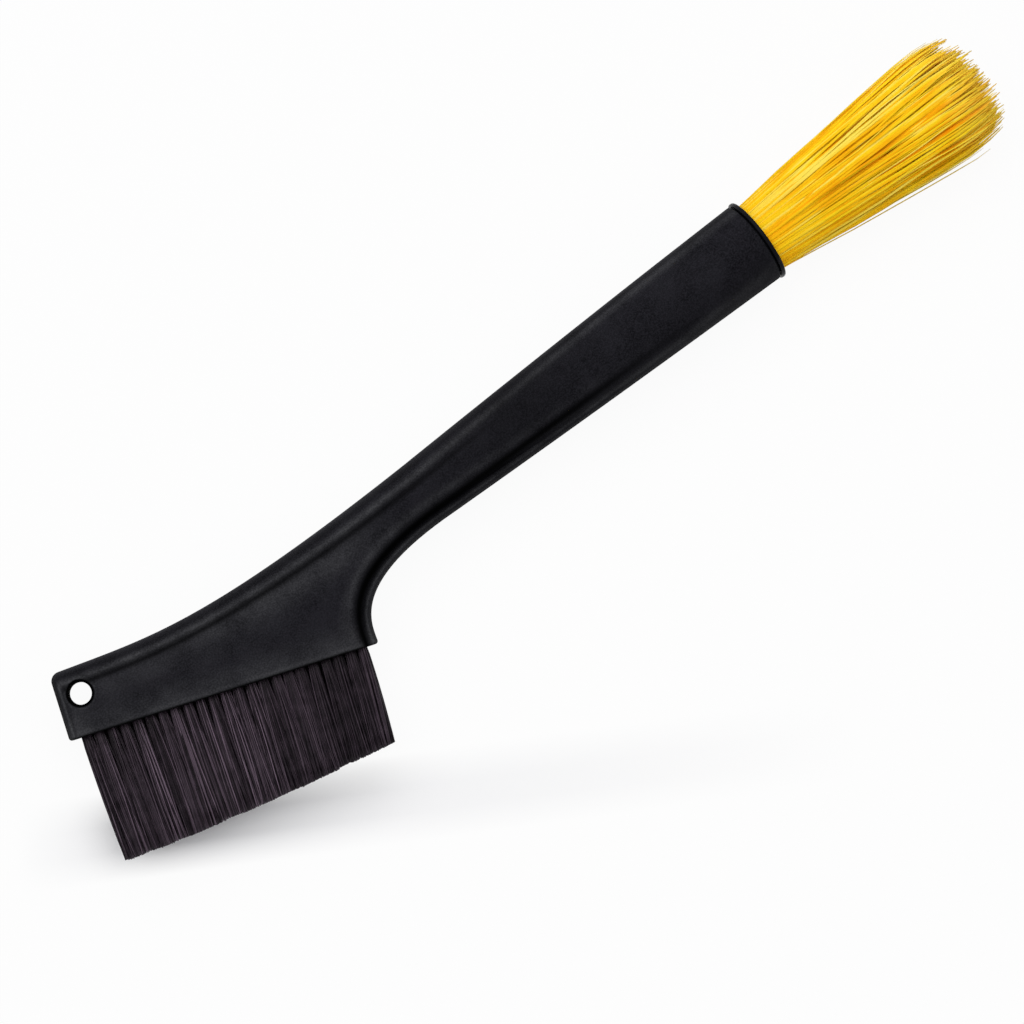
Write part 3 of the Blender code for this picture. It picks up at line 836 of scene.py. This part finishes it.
def handle_mesh():
    """Loft the moulding from the grip's socket, round the neck, to the root face."""
    bm = bmesh.new()
    # Each point carries its share of painted light and of painted shade
    layers = [bm.verts.layers.float.new(name) for name in ("painted_light", "painted_shade")]
    rows = grip_rows() + head_rows()
    quarter = [math.pi / 2 * i / EDGE_STEPS for i in range(EDGE_STEPS + 1)]
    loops = []
    for angle in reversed(quarter[1:]):
        offset = Vector((HANDLE_END_ROUND * math.sin(angle), 0.0))
        shrink = HANDLE_END_ROUND * (1 - math.cos(angle))
        loops.append(section_loop(bm, layers, rows[0], offset, shrink))
    loops.extend(section_loop(bm, layers, row) for row in rows)
    # The root edge's rounding is painted in shade
    for angle in quarter[1:]:
        offset = -ROW_UP * ROOT_EDGE_ROUND * math.sin(angle)
        shrink = ROOT_EDGE_ROUND * (1 - math.cos(angle))
        loops.append(section_loop(bm, layers, rows[-1], offset, shrink, ease(math.sin(angle))))
    socket_radius = COLLAR_SLEEVE_RADIUS + SOCKET_GAP
    socket_depth = COLLAR_SLEEVE_LENGTH + SOCKET_END_GAP
    for depth in (GRIP_END, socket_depth):
        ring = []
        for vertex in loops[EDGE_STEPS if depth == GRIP_END else 0]:
            out = Vector((vertex.co.y, vertex.co.z)).normalized() * socket_radius
            ring.append(bm.verts.new((-depth, out.x, out.y)))
        loops.insert(0, ring)
    for first, second in zip(loops, loops[1:]):
        for i in range(len(first)):
            bm.faces.new((first[i - 1], first[i], second[i], second[i - 1]))
    bm.faces.new(loops[0])
    bm.faces.new(reversed(loops[-1]))
    bmesh.ops.recalc_face_normals(bm, faces=bm.faces)
    return finish_mesh(bm, "handle_skin")


def turned_mesh(name, outline, closed=False):
    """Turn an outline of (radius, height) points round local Z; a closed one makes a ring."""
    bm = bmesh.new()
    points = [bm.verts.new((radius, 0.0, height)) for radius, height in outline]
    edges = [bm.edges.new(pair) for pair in zip(points, points[1:])]
    if closed:
        edges.append(bm.edges.new((points[-1], points[0])))
    bmesh.ops.spin(bm, geom=points + edges, axis=(0, 0, 1), cent=(0, 0, 0),
                   angle=2 * math.pi, steps=ROUND_STEPS, use_merge=True)
    bmesh.ops.remove_doubles(bm, verts=bm.verts, dist=MERGE_DISTANCE)
    bmesh.ops.recalc_face_normals(bm, faces=bm.faces)
    return finish_mesh(bm, name)


def add_object(name, data, material=None):
    made = bpy.data.objects.new(name, data)
    bpy.context.scene.collection.objects.link(made)
    if material:
        data.materials.append(material)
    return made


def arc(centre_radius, centre_height, size, start, end, steps, depth=None):
    """Points (radius, height) on an arc, with its angles in degrees."""
    made = []
    for i in range(steps + 1):
        angle = math.radians(mix(start, end, i / steps))
        made.append((centre_radius + size * math.cos(angle),
                     centre_height + (depth or size) * math.sin(angle)))
    return made


def hang_hole_mesh():
    """A bore whose edges round over into both faces of the head."""
    centre = HANG_HOLE_RADIUS + HANG_HOLE_LIP
    lip = arc(centre, WEB_HALF_HEAD - HANG_HOLE_LIP_DEPTH, HANG_HOLE_LIP,
              180, HANG_HOLE_LIP_END, LIP_STEPS, HANG_HOLE_LIP_DEPTH)
    top = WEB_HALF_HEAD + CUT_OVERRUN
    upper = lip + [(lip[-1][0], top), (0.0, top)]
    lower = [(radius, -height) for radius, height in reversed(upper)]
    return turned_mesh("hang_hole_cutter", lower + upper)


def front_places():
    """Places of the front row's tufts along the root line, from the head's left corner."""
    count = round((HEAD_WIDTH - 2 * TUFT_ROW_MARGIN) / TUFT_PITCH)
    spare = HEAD_WIDTH - count * TUFT_PITCH
    return [spare / 2 + TUFT_PITCH * (i + 0.5) for i in range(count)]


def back_places():
    """Places of the back row's tufts, one fewer, each between two of the front row."""
    places = front_places()
    return [(a + b) / 2 for a, b in zip(places, places[1:])]


def tuft_holes_mesh():
    bm = bmesh.new()
    length = TUFT_HOLE_DEPTH + CUT_OVERRUN
    middle = CUT_OVERRUN - length / 2
    for side, places in ((1, front_places()), (-1, back_places())):
        for along in places:
            place = Matrix.Translation((along, side * TUFT_ROW_OFFSET, middle))
            bmesh.ops.create_cone(bm, cap_ends=True, segments=HOLE_STEPS, depth=length,
                                  radius1=TUFT_HOLE_RADIUS, radius2=TUFT_HOLE_RADIUS, matrix=place)
    return finish_mesh(bm, "tuft_hole_cutter")


def build_handle():
    mesh = handle_mesh()
    handle = add_object("handle_skin", mesh)
    mesh.transform(Matrix.Translation(brush_origin()))
    hole = LEFT_CORNER + HANG_HOLE_INSET * ROW_ALONG + HANG_HOLE_RISE * ROW_UP
    hang_matrix = Matrix.Translation(brush_origin() + hole.to_3d())
    for cutter_mesh, matrix in ((tuft_holes_mesh(), root_row_matrix()),
                                (hang_hole_mesh(), hang_matrix)):
        cutter_mesh.transform(matrix)
        cutter = add_object("cutter", cutter_mesh)
        modifier = handle.modifiers.new("cut", "BOOLEAN")
        modifier.operation = "DIFFERENCE"
        modifier.object = cutter
        graph = bpy.context.evaluated_depsgraph_get()
        cut_mesh = bpy.data.meshes.new_from_object(handle.evaluated_get(graph))
        handle.modifiers.clear()
        handle.data = cut_mesh
        bpy.data.objects.remove(cutter)
    handle.data.name = "handle_skin"
    handle.data.materials.clear()
    handle.data.materials.append(matte_plastic(hang_matrix.translation))
    handle.data.shade_smooth()
    handle.data.set_sharp_from_angle(angle=HANDLE_SHARP_ANGLE)
    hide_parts("handle")
    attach(handle, "root")


def collar_outline():
    """From the collar's mouth, out over its rounded bead and back along the sleeve."""
    edge, mouth = COLLAR_BEAD_ROUND, COLLAR_MOUTH_ROUND
    back, end = -COLLAR_BEAD_LENGTH, -COLLAR_SLEEVE_LENGTH
    return [*arc(COLLAR_MOUTH_RADIUS + mouth, -mouth, mouth, 180, 90, MOUTH_STEPS),
            *arc(COLLAR_RADIUS - edge, -edge, edge, 90, 0, BEAD_STEPS),
            *arc(COLLAR_RADIUS - edge, back + edge, edge, 0, -90, BEAD_STEPS),
            (COLLAR_SLEEVE_RADIUS, back), (COLLAR_SLEEVE_RADIUS, end),
            (COLLAR_BORE_RADIUS, end), (COLLAR_BORE_RADIUS, -COLLAR_MOUTH_CHAMFER)]


def build_collar():
    mesh = turned_mesh("collar_ring", collar_outline(), closed=True)
    mesh.transform(grip_axis_matrix())
    collar = add_object("collar_ring", mesh, gloss_plastic())
    mesh.shade_smooth()
    mesh.set_sharp_from_angle(angle=COLLAR_SHARP_ANGLE)
    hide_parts("end_collar")
    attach(collar, "root")


# Strands: thin tubes, all of one bundle in one mesh

def bundle_mesh(name, paths, radii, values, sides=4, lean=None):
    """Tubes along paths of shape (strand, ring, xyz), whose rings lie square to local Z.

    values holds numbers per strand and ring for each named attribute; they and radii may have
    one row or column for all. lean is added to the strands' own normals, so that a dense bundle
    is shaded as one soft form.
    """
    strands, rings = paths.shape[:2]
    angles = np.arange(sides) * (2 * math.pi / sides) + np.arange(strands)[:, None] * STRAND_TURN
    circle = np.stack([np.cos(angles), np.sin(angles), np.zeros_like(angles)], axis=-1)
    points = paths[:, :, None, :] + radii[:, :, None, None] * circle[:, None, :, :]
    start = (np.arange(strands) * rings * sides)[:, None, None]
    ring = (np.arange(rings - 1) * sides)[None, :, None]
    side = np.arange(sides)[None, None, :]
    ahead = (side + 1) % sides
    quads = np.stack([start + ring + side, start + ring + ahead,
                      start + ring + sides + ahead, start + ring + sides + side], axis=-1)
    foot = start[:, 0] + np.arange(sides)[None, ::-1]
    tip = start[:, 0] + (rings - 1) * sides + np.arange(sides)[None, :]
    faces = quads.reshape(-1, 4).tolist() + foot.tolist() + tip.tolist()
    mesh = bpy.data.meshes.new(name)
    mesh.from_pydata(points.reshape(-1, 3).tolist(), [], faces)
    for key, numbers in values.items():
        spread = np.broadcast_to(numbers[:, :, None], points.shape[:3]).astype(np.float32)
        mesh.attributes.new(key, "FLOAT", "POINT").data.foreach_set("value", spread.ravel())
    mesh.shade_smooth()
    if lean is not None:
        normals = np.broadcast_to(circle[:, None, :, :] + lean[:, :, None, :], points.shape)
        normals = normals / np.linalg.norm(normals, axis=-1, keepdims=True)
        mesh.normals_split_custom_set_from_vertices(normals.reshape(-1, 3).tolist())
    return mesh


def disc_places(count):
    """Evenly spread places in a unit disc, on a sunflower spiral."""
    order = np.arange(count) + 0.5
    reach = np.sqrt(order / count)
    angle = order * math.pi * (3 - math.sqrt(5))
    return np.stack([reach * np.cos(angle), reach * np.sin(angle)], axis=-1)


def row_span():
    """Where the front row's pitches start along the root line, and their whole length."""
    places = front_places()
    return places[0] - TUFT_PITCH / 2, TUFT_PITCH * len(places)


def trim_height(place):
    """Height of the slanted trim line over the root line, at a place along the row."""
    first, row_length = row_span()
    tip_length = row_length - BLACK_TIP_INSET_OUTER - BLACK_TIP_INSET_INNER
    share = (place - first - BLACK_TIP_INSET_OUTER) / tip_length
    bow = 4 * BLACK_TRIM_BOW * share * (1 - share)
    return mix(BLACK_LENGTH_OUTER, BLACK_LENGTH_INNER, share) + bow


def tuft_mesh(name, along, side, draws):
    """One tuft: fine filaments that leave their hole as a bunch and fan out to the trim line."""
    first, row_length = row_span()
    gather = (row_length - BLACK_TIP_INSET_OUTER - BLACK_TIP_INSET_INNER) / row_length
    shift = first + BLACK_TIP_INSET_OUTER + (along - first) * gather - along
    spots = disc_places(BLACK_STRANDS)
    roots = spots * TUFT_ROOT_RADIUS
    overlap = BLACK_OVERLAP_SHARE if side > 0 else BLACK_BACK_OVERLAP_SHARE
    tips = spots * (overlap * gather * TUFT_PITCH / 2, BLACK_TIP_DEPTH)
    tips[:, 1] += side * (BLACK_TIP_DEPTH - TUFT_ROW_OFFSET)
    tips += draws.normal(0.0, BLACK_WANDER, tips.shape)
    share = np.linspace(0.0, 1.0, BLACK_RINGS)[None, :]
    splay = 1 - (1 - share) ** BLACK_SPLAY_POWER
    sway = np.sin(math.pi * share)
    bend = draws.normal(0.0, BLACK_BEND, (BLACK_STRANDS, 2)) + draws.normal(0.0, BLACK_TUFT_BEND, 2)
    inset = np.abs(draws.normal(0.0, BLACK_EDGE_INSET, BLACK_STRANDS))[:, None]
    paths = np.empty((BLACK_STRANDS, BLACK_RINGS, 3))
    for axis in range(2):
        paths[:, :, axis] = mix(roots[:, axis, None], tips[:, axis, None], splay)
        paths[:, :, axis] += bend[:, axis, None] * sway
    paths[:, :, 0] += along + shift * share
    edge = TUFT_PITCH / 2 - TUFT_ROOT_RADIUS
    low = first + mix(edge, BLACK_TIP_INSET_OUTER, share) - BLACK_EDGE_BOW * sway
    high = first + row_length - mix(edge, BLACK_TIP_INSET_INNER, share) + BLACK_EDGE_BOW * sway
    paths[:, :, 0] = np.clip(paths[:, :, 0], low + inset, high - inset)
    height = trim_height(paths[:, -1, 0])
    ragged = draws.normal(0.0, BLACK_RAGGED, BLACK_STRANDS)
    step = np.clip(draws.normal(0.0, BLACK_CLUMP_STEP), -BLACK_CLUMP_STEP, BLACK_CLUMP_STEP)
    height += ragged + step
    paths[:, :, 2] = mix(-TUFT_HOLE_DEPTH * BLACK_START_SHARE, height[:, None], share)
    paths[:, :, 1] += side * TUFT_ROW_OFFSET
    radii = BLACK_STRAND_RADIUS * mix(1.0, BLACK_TAPER, share)
    tone = draws.beta(*BLACK_TONE_BETA, BLACK_STRANDS)
    place = (along - first) / row_length
    rising = mix(*BLACK_TONE_ENDS[:2], ease(place / BLACK_TONE_RISES_BY))
    start, span = BLACK_TONE_FALL
    tone *= mix(rising, BLACK_TONE_ENDS[2], ease((place - start) / span))
    return bundle_mesh(name, paths, radii, {"tone": tone[:, None], "along": share})


def build_tufts():
    nylon = black_nylon()
    draws = np.random.default_rng(BLACK_SEED)
    matrix = root_row_matrix()
    for row_name, side, places in (("front", 1, front_places()), ("back", -1, back_places())):
        for number, along in enumerate(places):
            node = f"tuft_{row_name}_{number + 1:02d}"
            mesh = tuft_mesh(f"bristles_{node}", along, side, draws)
            mesh.transform(matrix)
            tuft = add_object(f"bristles_{node}", mesh, nylon)
            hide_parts(node)
            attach(tuft, "root")


def unit(values):
    return np.clip(values, 0.0, 1.0)


def yellow_envelope(height):
    """Half width of the round brush at heights over the collar's front face."""
    flare = 1 - (1 - unit(height / YELLOW_WIDEST_AT)) ** YELLOW_FLARE_POWER
    out = mix(YELLOW_MOUTH_RADIUS, YELLOW_WIDEST_RADIUS, flare)
    past = unit((height - YELLOW_WIDEST_AT) / (YELLOW_LENGTH - YELLOW_WIDEST_AT))
    out = out * (1 - YELLOW_TIP_NARROWER_SHARE * past ** 2)
    inside = unit(-height / KNOT_DEPTH * KNOT_NARROWS_OVER)
    return np.where(height < 0, mix(YELLOW_MOUTH_RADIUS, KNOT_RADIUS, inside), out)


def yellow_mesh():
    """Fine wavy fibres round a core of thicker ones, drawn together in locks at the tips."""
    draws = np.random.default_rng(YELLOW_SEED)
    spots = disc_places(YELLOW_STRANDS)
    locks = disc_places(YELLOW_CLUMPS)
    nearest = np.argmin(((spots[:, None, :] - locks[None, :, :]) ** 2).sum(axis=2), axis=1)
    reach = np.linalg.norm(spots, axis=1)
    length = YELLOW_LENGTH - YELLOW_DOME * reach ** 3
    length -= YELLOW_RAGGED * draws.beta(*YELLOW_RAGGED_BETA, YELLOW_STRANDS)
    length += draws.normal(0.0, YELLOW_LOCK_STEP, YELLOW_CLUMPS)[nearest]
    share = 1 - (1 - np.linspace(0.0, 1.0, YELLOW_RINGS)[None, :]) ** YELLOW_RING_POWER
    height = mix(-KNOT_DEPTH, length[:, None], share)
    free = unit(height / YELLOW_LENGTH)
    envelope = yellow_envelope(height)
    deep = envelope * mix(1.0, YELLOW_WIDEST_DEPTH / YELLOW_WIDEST_RADIUS, free)
    gather = unit((free - YELLOW_GATHER_FROM) / (1 - YELLOW_GATHER_FROM)) ** YELLOW_GATHER_POWER
    paths = np.empty((YELLOW_STRANDS, YELLOW_RINGS, 3))
    wander = draws.normal(0.0, YELLOW_WANDER, (YELLOW_STRANDS, 2))
    wave = draws.normal(0.0, YELLOW_WAVE, (YELLOW_STRANDS, 2))
    phase = draws.uniform(0.0, 2 * math.pi, (YELLOW_STRANDS, 2))
    turns = draws.uniform(*YELLOW_WAVE_TURNS, (YELLOW_STRANDS, 2))
    strays = draws.random(YELLOW_STRANDS) < YELLOW_STRAY_SHARE
    stray = strays * draws.uniform(*YELLOW_STRAY_RANGE, YELLOW_STRANDS)
    stray *= reach > YELLOW_CORE_SHARE
    for axis, size in ((0, deep), (1, envelope)):
        spot = mix(spots[:, axis, None], locks[nearest][:, axis, None], YELLOW_GATHER * gather)
        angle = phase[:, axis, None] + 2 * math.pi * turns[:, axis, None] * free
        ripple = wave[:, axis, None] * np.sin(angle) * unit(YELLOW_WAVE_RISE * free)
        drift = wander[:, axis, None] * free ** YELLOW_WANDER_POWER
        paths[:, :, axis] = spot * size + drift + ripple
    spread = np.hypot(paths[:, :, 0] / deep, paths[:, :, 1] / envelope)
    paths[:, :, :2] /= np.maximum(1.0, spread / YELLOW_SPREAD_LIMIT)[:, :, None]
    out = (stray[:, None] * spots)[:, None, :] * YELLOW_STRAY
    paths[:, :, :2] += out * free[:, :, None] ** YELLOW_STRAY_POWER
    paths[:, :, 1] -= YELLOW_LEAN * free
    paths[:, :, 2] = height
    floor = brush_origin().z - FLOOR_CLEARANCE
    paths[:, :, 0] = np.clip(paths[:, :, 0], -floor, floor)
    taper = unit((share - YELLOW_TAPER_FROM) / (1 - YELLOW_TAPER_FROM)) ** YELLOW_TAPER_POWER
    radii = mix(YELLOW_STRAND_RADIUS, YELLOW_TIP_RADIUS, np.repeat(taper, YELLOW_STRANDS, axis=0))
    inner = reach < YELLOW_CORE_SHARE
    radii[inner] *= YELLOW_CORE_GROWTH
    radii[stray > 0] *= YELLOW_STRAY_THINNER
    tone = YELLOW_TONE + draws.normal(0.0, YELLOW_STRAND_TONE, YELLOW_STRANDS)
    tone += YELLOW_PALER * (draws.random(YELLOW_STRANDS) < YELLOW_PALE_SHARE)
    tone += draws.normal(0.0, YELLOW_LOCK_TONE, YELLOW_CLUMPS)[nearest]
    # Painted shade: the inner fibres are deeper amber
    tone[inner] -= YELLOW_CORE_SHADE
    tone[stray > 0] += YELLOW_STRAY_PALER
    values = {"tone": tone[:, None], "along": share}
    lean = np.zeros_like(paths)
    lean[:, :, :2] = (spots * reach[:, None] * YELLOW_NORMAL_LEAN)[:, None, :]
    lean[:, -2:, 2] = YELLOW_END_LEAN
    return bundle_mesh("yellow_fibres", paths, radii, values, YELLOW_SIDES, lean)


def build_yellow():
    mesh = yellow_mesh()
    mesh.transform(grip_axis_matrix())
    yellow = add_object("yellow_fibres", mesh, yellow_fibre())
    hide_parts("yellow_bristles")
    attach(yellow, "root")


def dress_plug():
    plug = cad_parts["knot_plug"]
    plug.data.materials.clear()
    plug.data.materials.append(cast_resin())


# Stage

def add_camera():
    data = bpy.data.cameras.new("camera")
    data.sensor_width = SENSOR_MM
    data.lens = LENS_MM
    camera = add_object("camera", data)
    target = Matrix.Translation(brush_origin() + Vector(VIEW_TARGET))
    turn = Matrix.Rotation(-VIEW_TILT, 4, "Y") @ Matrix.Rotation(-VIEW_TURN, 4, "Z")
    camera.matrix_world = target @ turn @ Matrix.Translation((0.0, 0.0, VIEW_DISTANCE))
    bpy.context.scene.camera = camera


def add_softbox(name, place, width, height, watts):
    data = bpy.data.lights.new(name, "AREA")
    data.shape = "RECTANGLE"
    data.size = width
    data.size_y = height
    data.energy = watts
    lamp = add_object(name, data)
    lamp.location = place
    back = Vector(place) - brush_origin() - Vector(VIEW_TARGET)
    lamp.rotation_euler = back.to_track_quat("Z", "Y").to_euler()


def seen_directly(tree):
    """1 for camera, glossy and transmission rays."""
    rays = tree.nodes.new("ShaderNodeLightPath").outputs
    seen = add_math("MAXIMUM", rays["Is Camera Ray"], rays["Is Glossy Ray"])
    return add_math("MAXIMUM", seen, rays["Is Transmission Ray"])


def floor_glow_share(tree):
    """How much of the floor's white is its own, least in the wedge where the shadow falls."""
    lowest = root_row_matrix() @ Vector((BLACK_TIP_INSET_OUTER, 0.0, BLACK_LENGTH_OUTER))
    mapping = tree.nodes.new("ShaderNodeMapping")
    mapping.vector_type = "TEXTURE"
    feed(mapping, {"Vector": object_coordinates(tree), "Location": lowest,
                   "Rotation": (0.0, 0.0, -VIEW_TURN)})
    right, up, _ = split_vector(mapping.outputs["Vector"])
    line = add_math("SUBTRACT", up, add_math("MULTIPLY", right, SHADOW_SLOPE))
    inside = [add_range(source, *side, 0.0, 1.0)
              for source, sides in ((line, SHADOW_LINE_SIDES), (right, SHADOW_RIGHT_SIDES))
              for side in sides]
    near = inside[0]
    for share in inside[1:]:
        near = add_math("MULTIPLY", near, share)
    return add_range(near, 0.0, 1.0, *FLOOR_GLOW_SHARES)


def add_floor():
    bm = bmesh.new()
    bmesh.ops.create_grid(bm, x_segments=1, y_segments=1, size=FLOOR_HALF_SIZE)
    material, tree, shader = start_material("floor_paper")
    tone = add_noise(object_coordinates(tree), 3.0)
    feed(shader, {"Base Color": add_mix(tone, *FLOOR_COLOURS),
                  "Roughness": 0.9, "Specular IOR Level": 0.1})
    glow = tree.nodes.new("ShaderNodeEmission")
    feed(glow, {"Color": FLOOR_GLOW})
    blend = tree.nodes.new("ShaderNodeMixShader")
    share = add_math("MULTIPLY", seen_directly(tree), floor_glow_share(tree))
    feed(blend, {0: share, 1: shader.outputs["BSDF"], 2: glow.outputs["Emission"]})
    feed(tree.nodes["Material Output"], {"Surface": blend.outputs["Shader"]})
    floor = add_object("floor", finish_mesh(bm, "floor"), material)


def add_world():
    """A room that is bright overhead and dim at the horizon, and white where it is seen."""
    world = bpy.data.worlds.new("room")
    bpy.context.scene.world = world
    world.use_nodes = True
    tree = world.node_tree
    direction = tree.nodes.new("ShaderNodeTexCoord").outputs["Generated"]
    rising = add_range(split_vector(direction)["Z"], *ROOM_RISE, 0.0, 1.0)
    colour = add_mix(seen_directly(tree), add_mix(rising, *ROOM_COLOURS), WHITE)
    feed(tree.nodes["Background"], {"Color": colour, "Strength": 1.0})


build_handle()
build_collar()
dress_plug()
build_tufts()
build_yellow()
add_floor()
add_world()
for lamp in LAMPS:
    add_softbox(*lamp)
add_camera()
bpy.context.scene.view_settings.view_transform = "Standard"
bpy.context.view_layer.update()
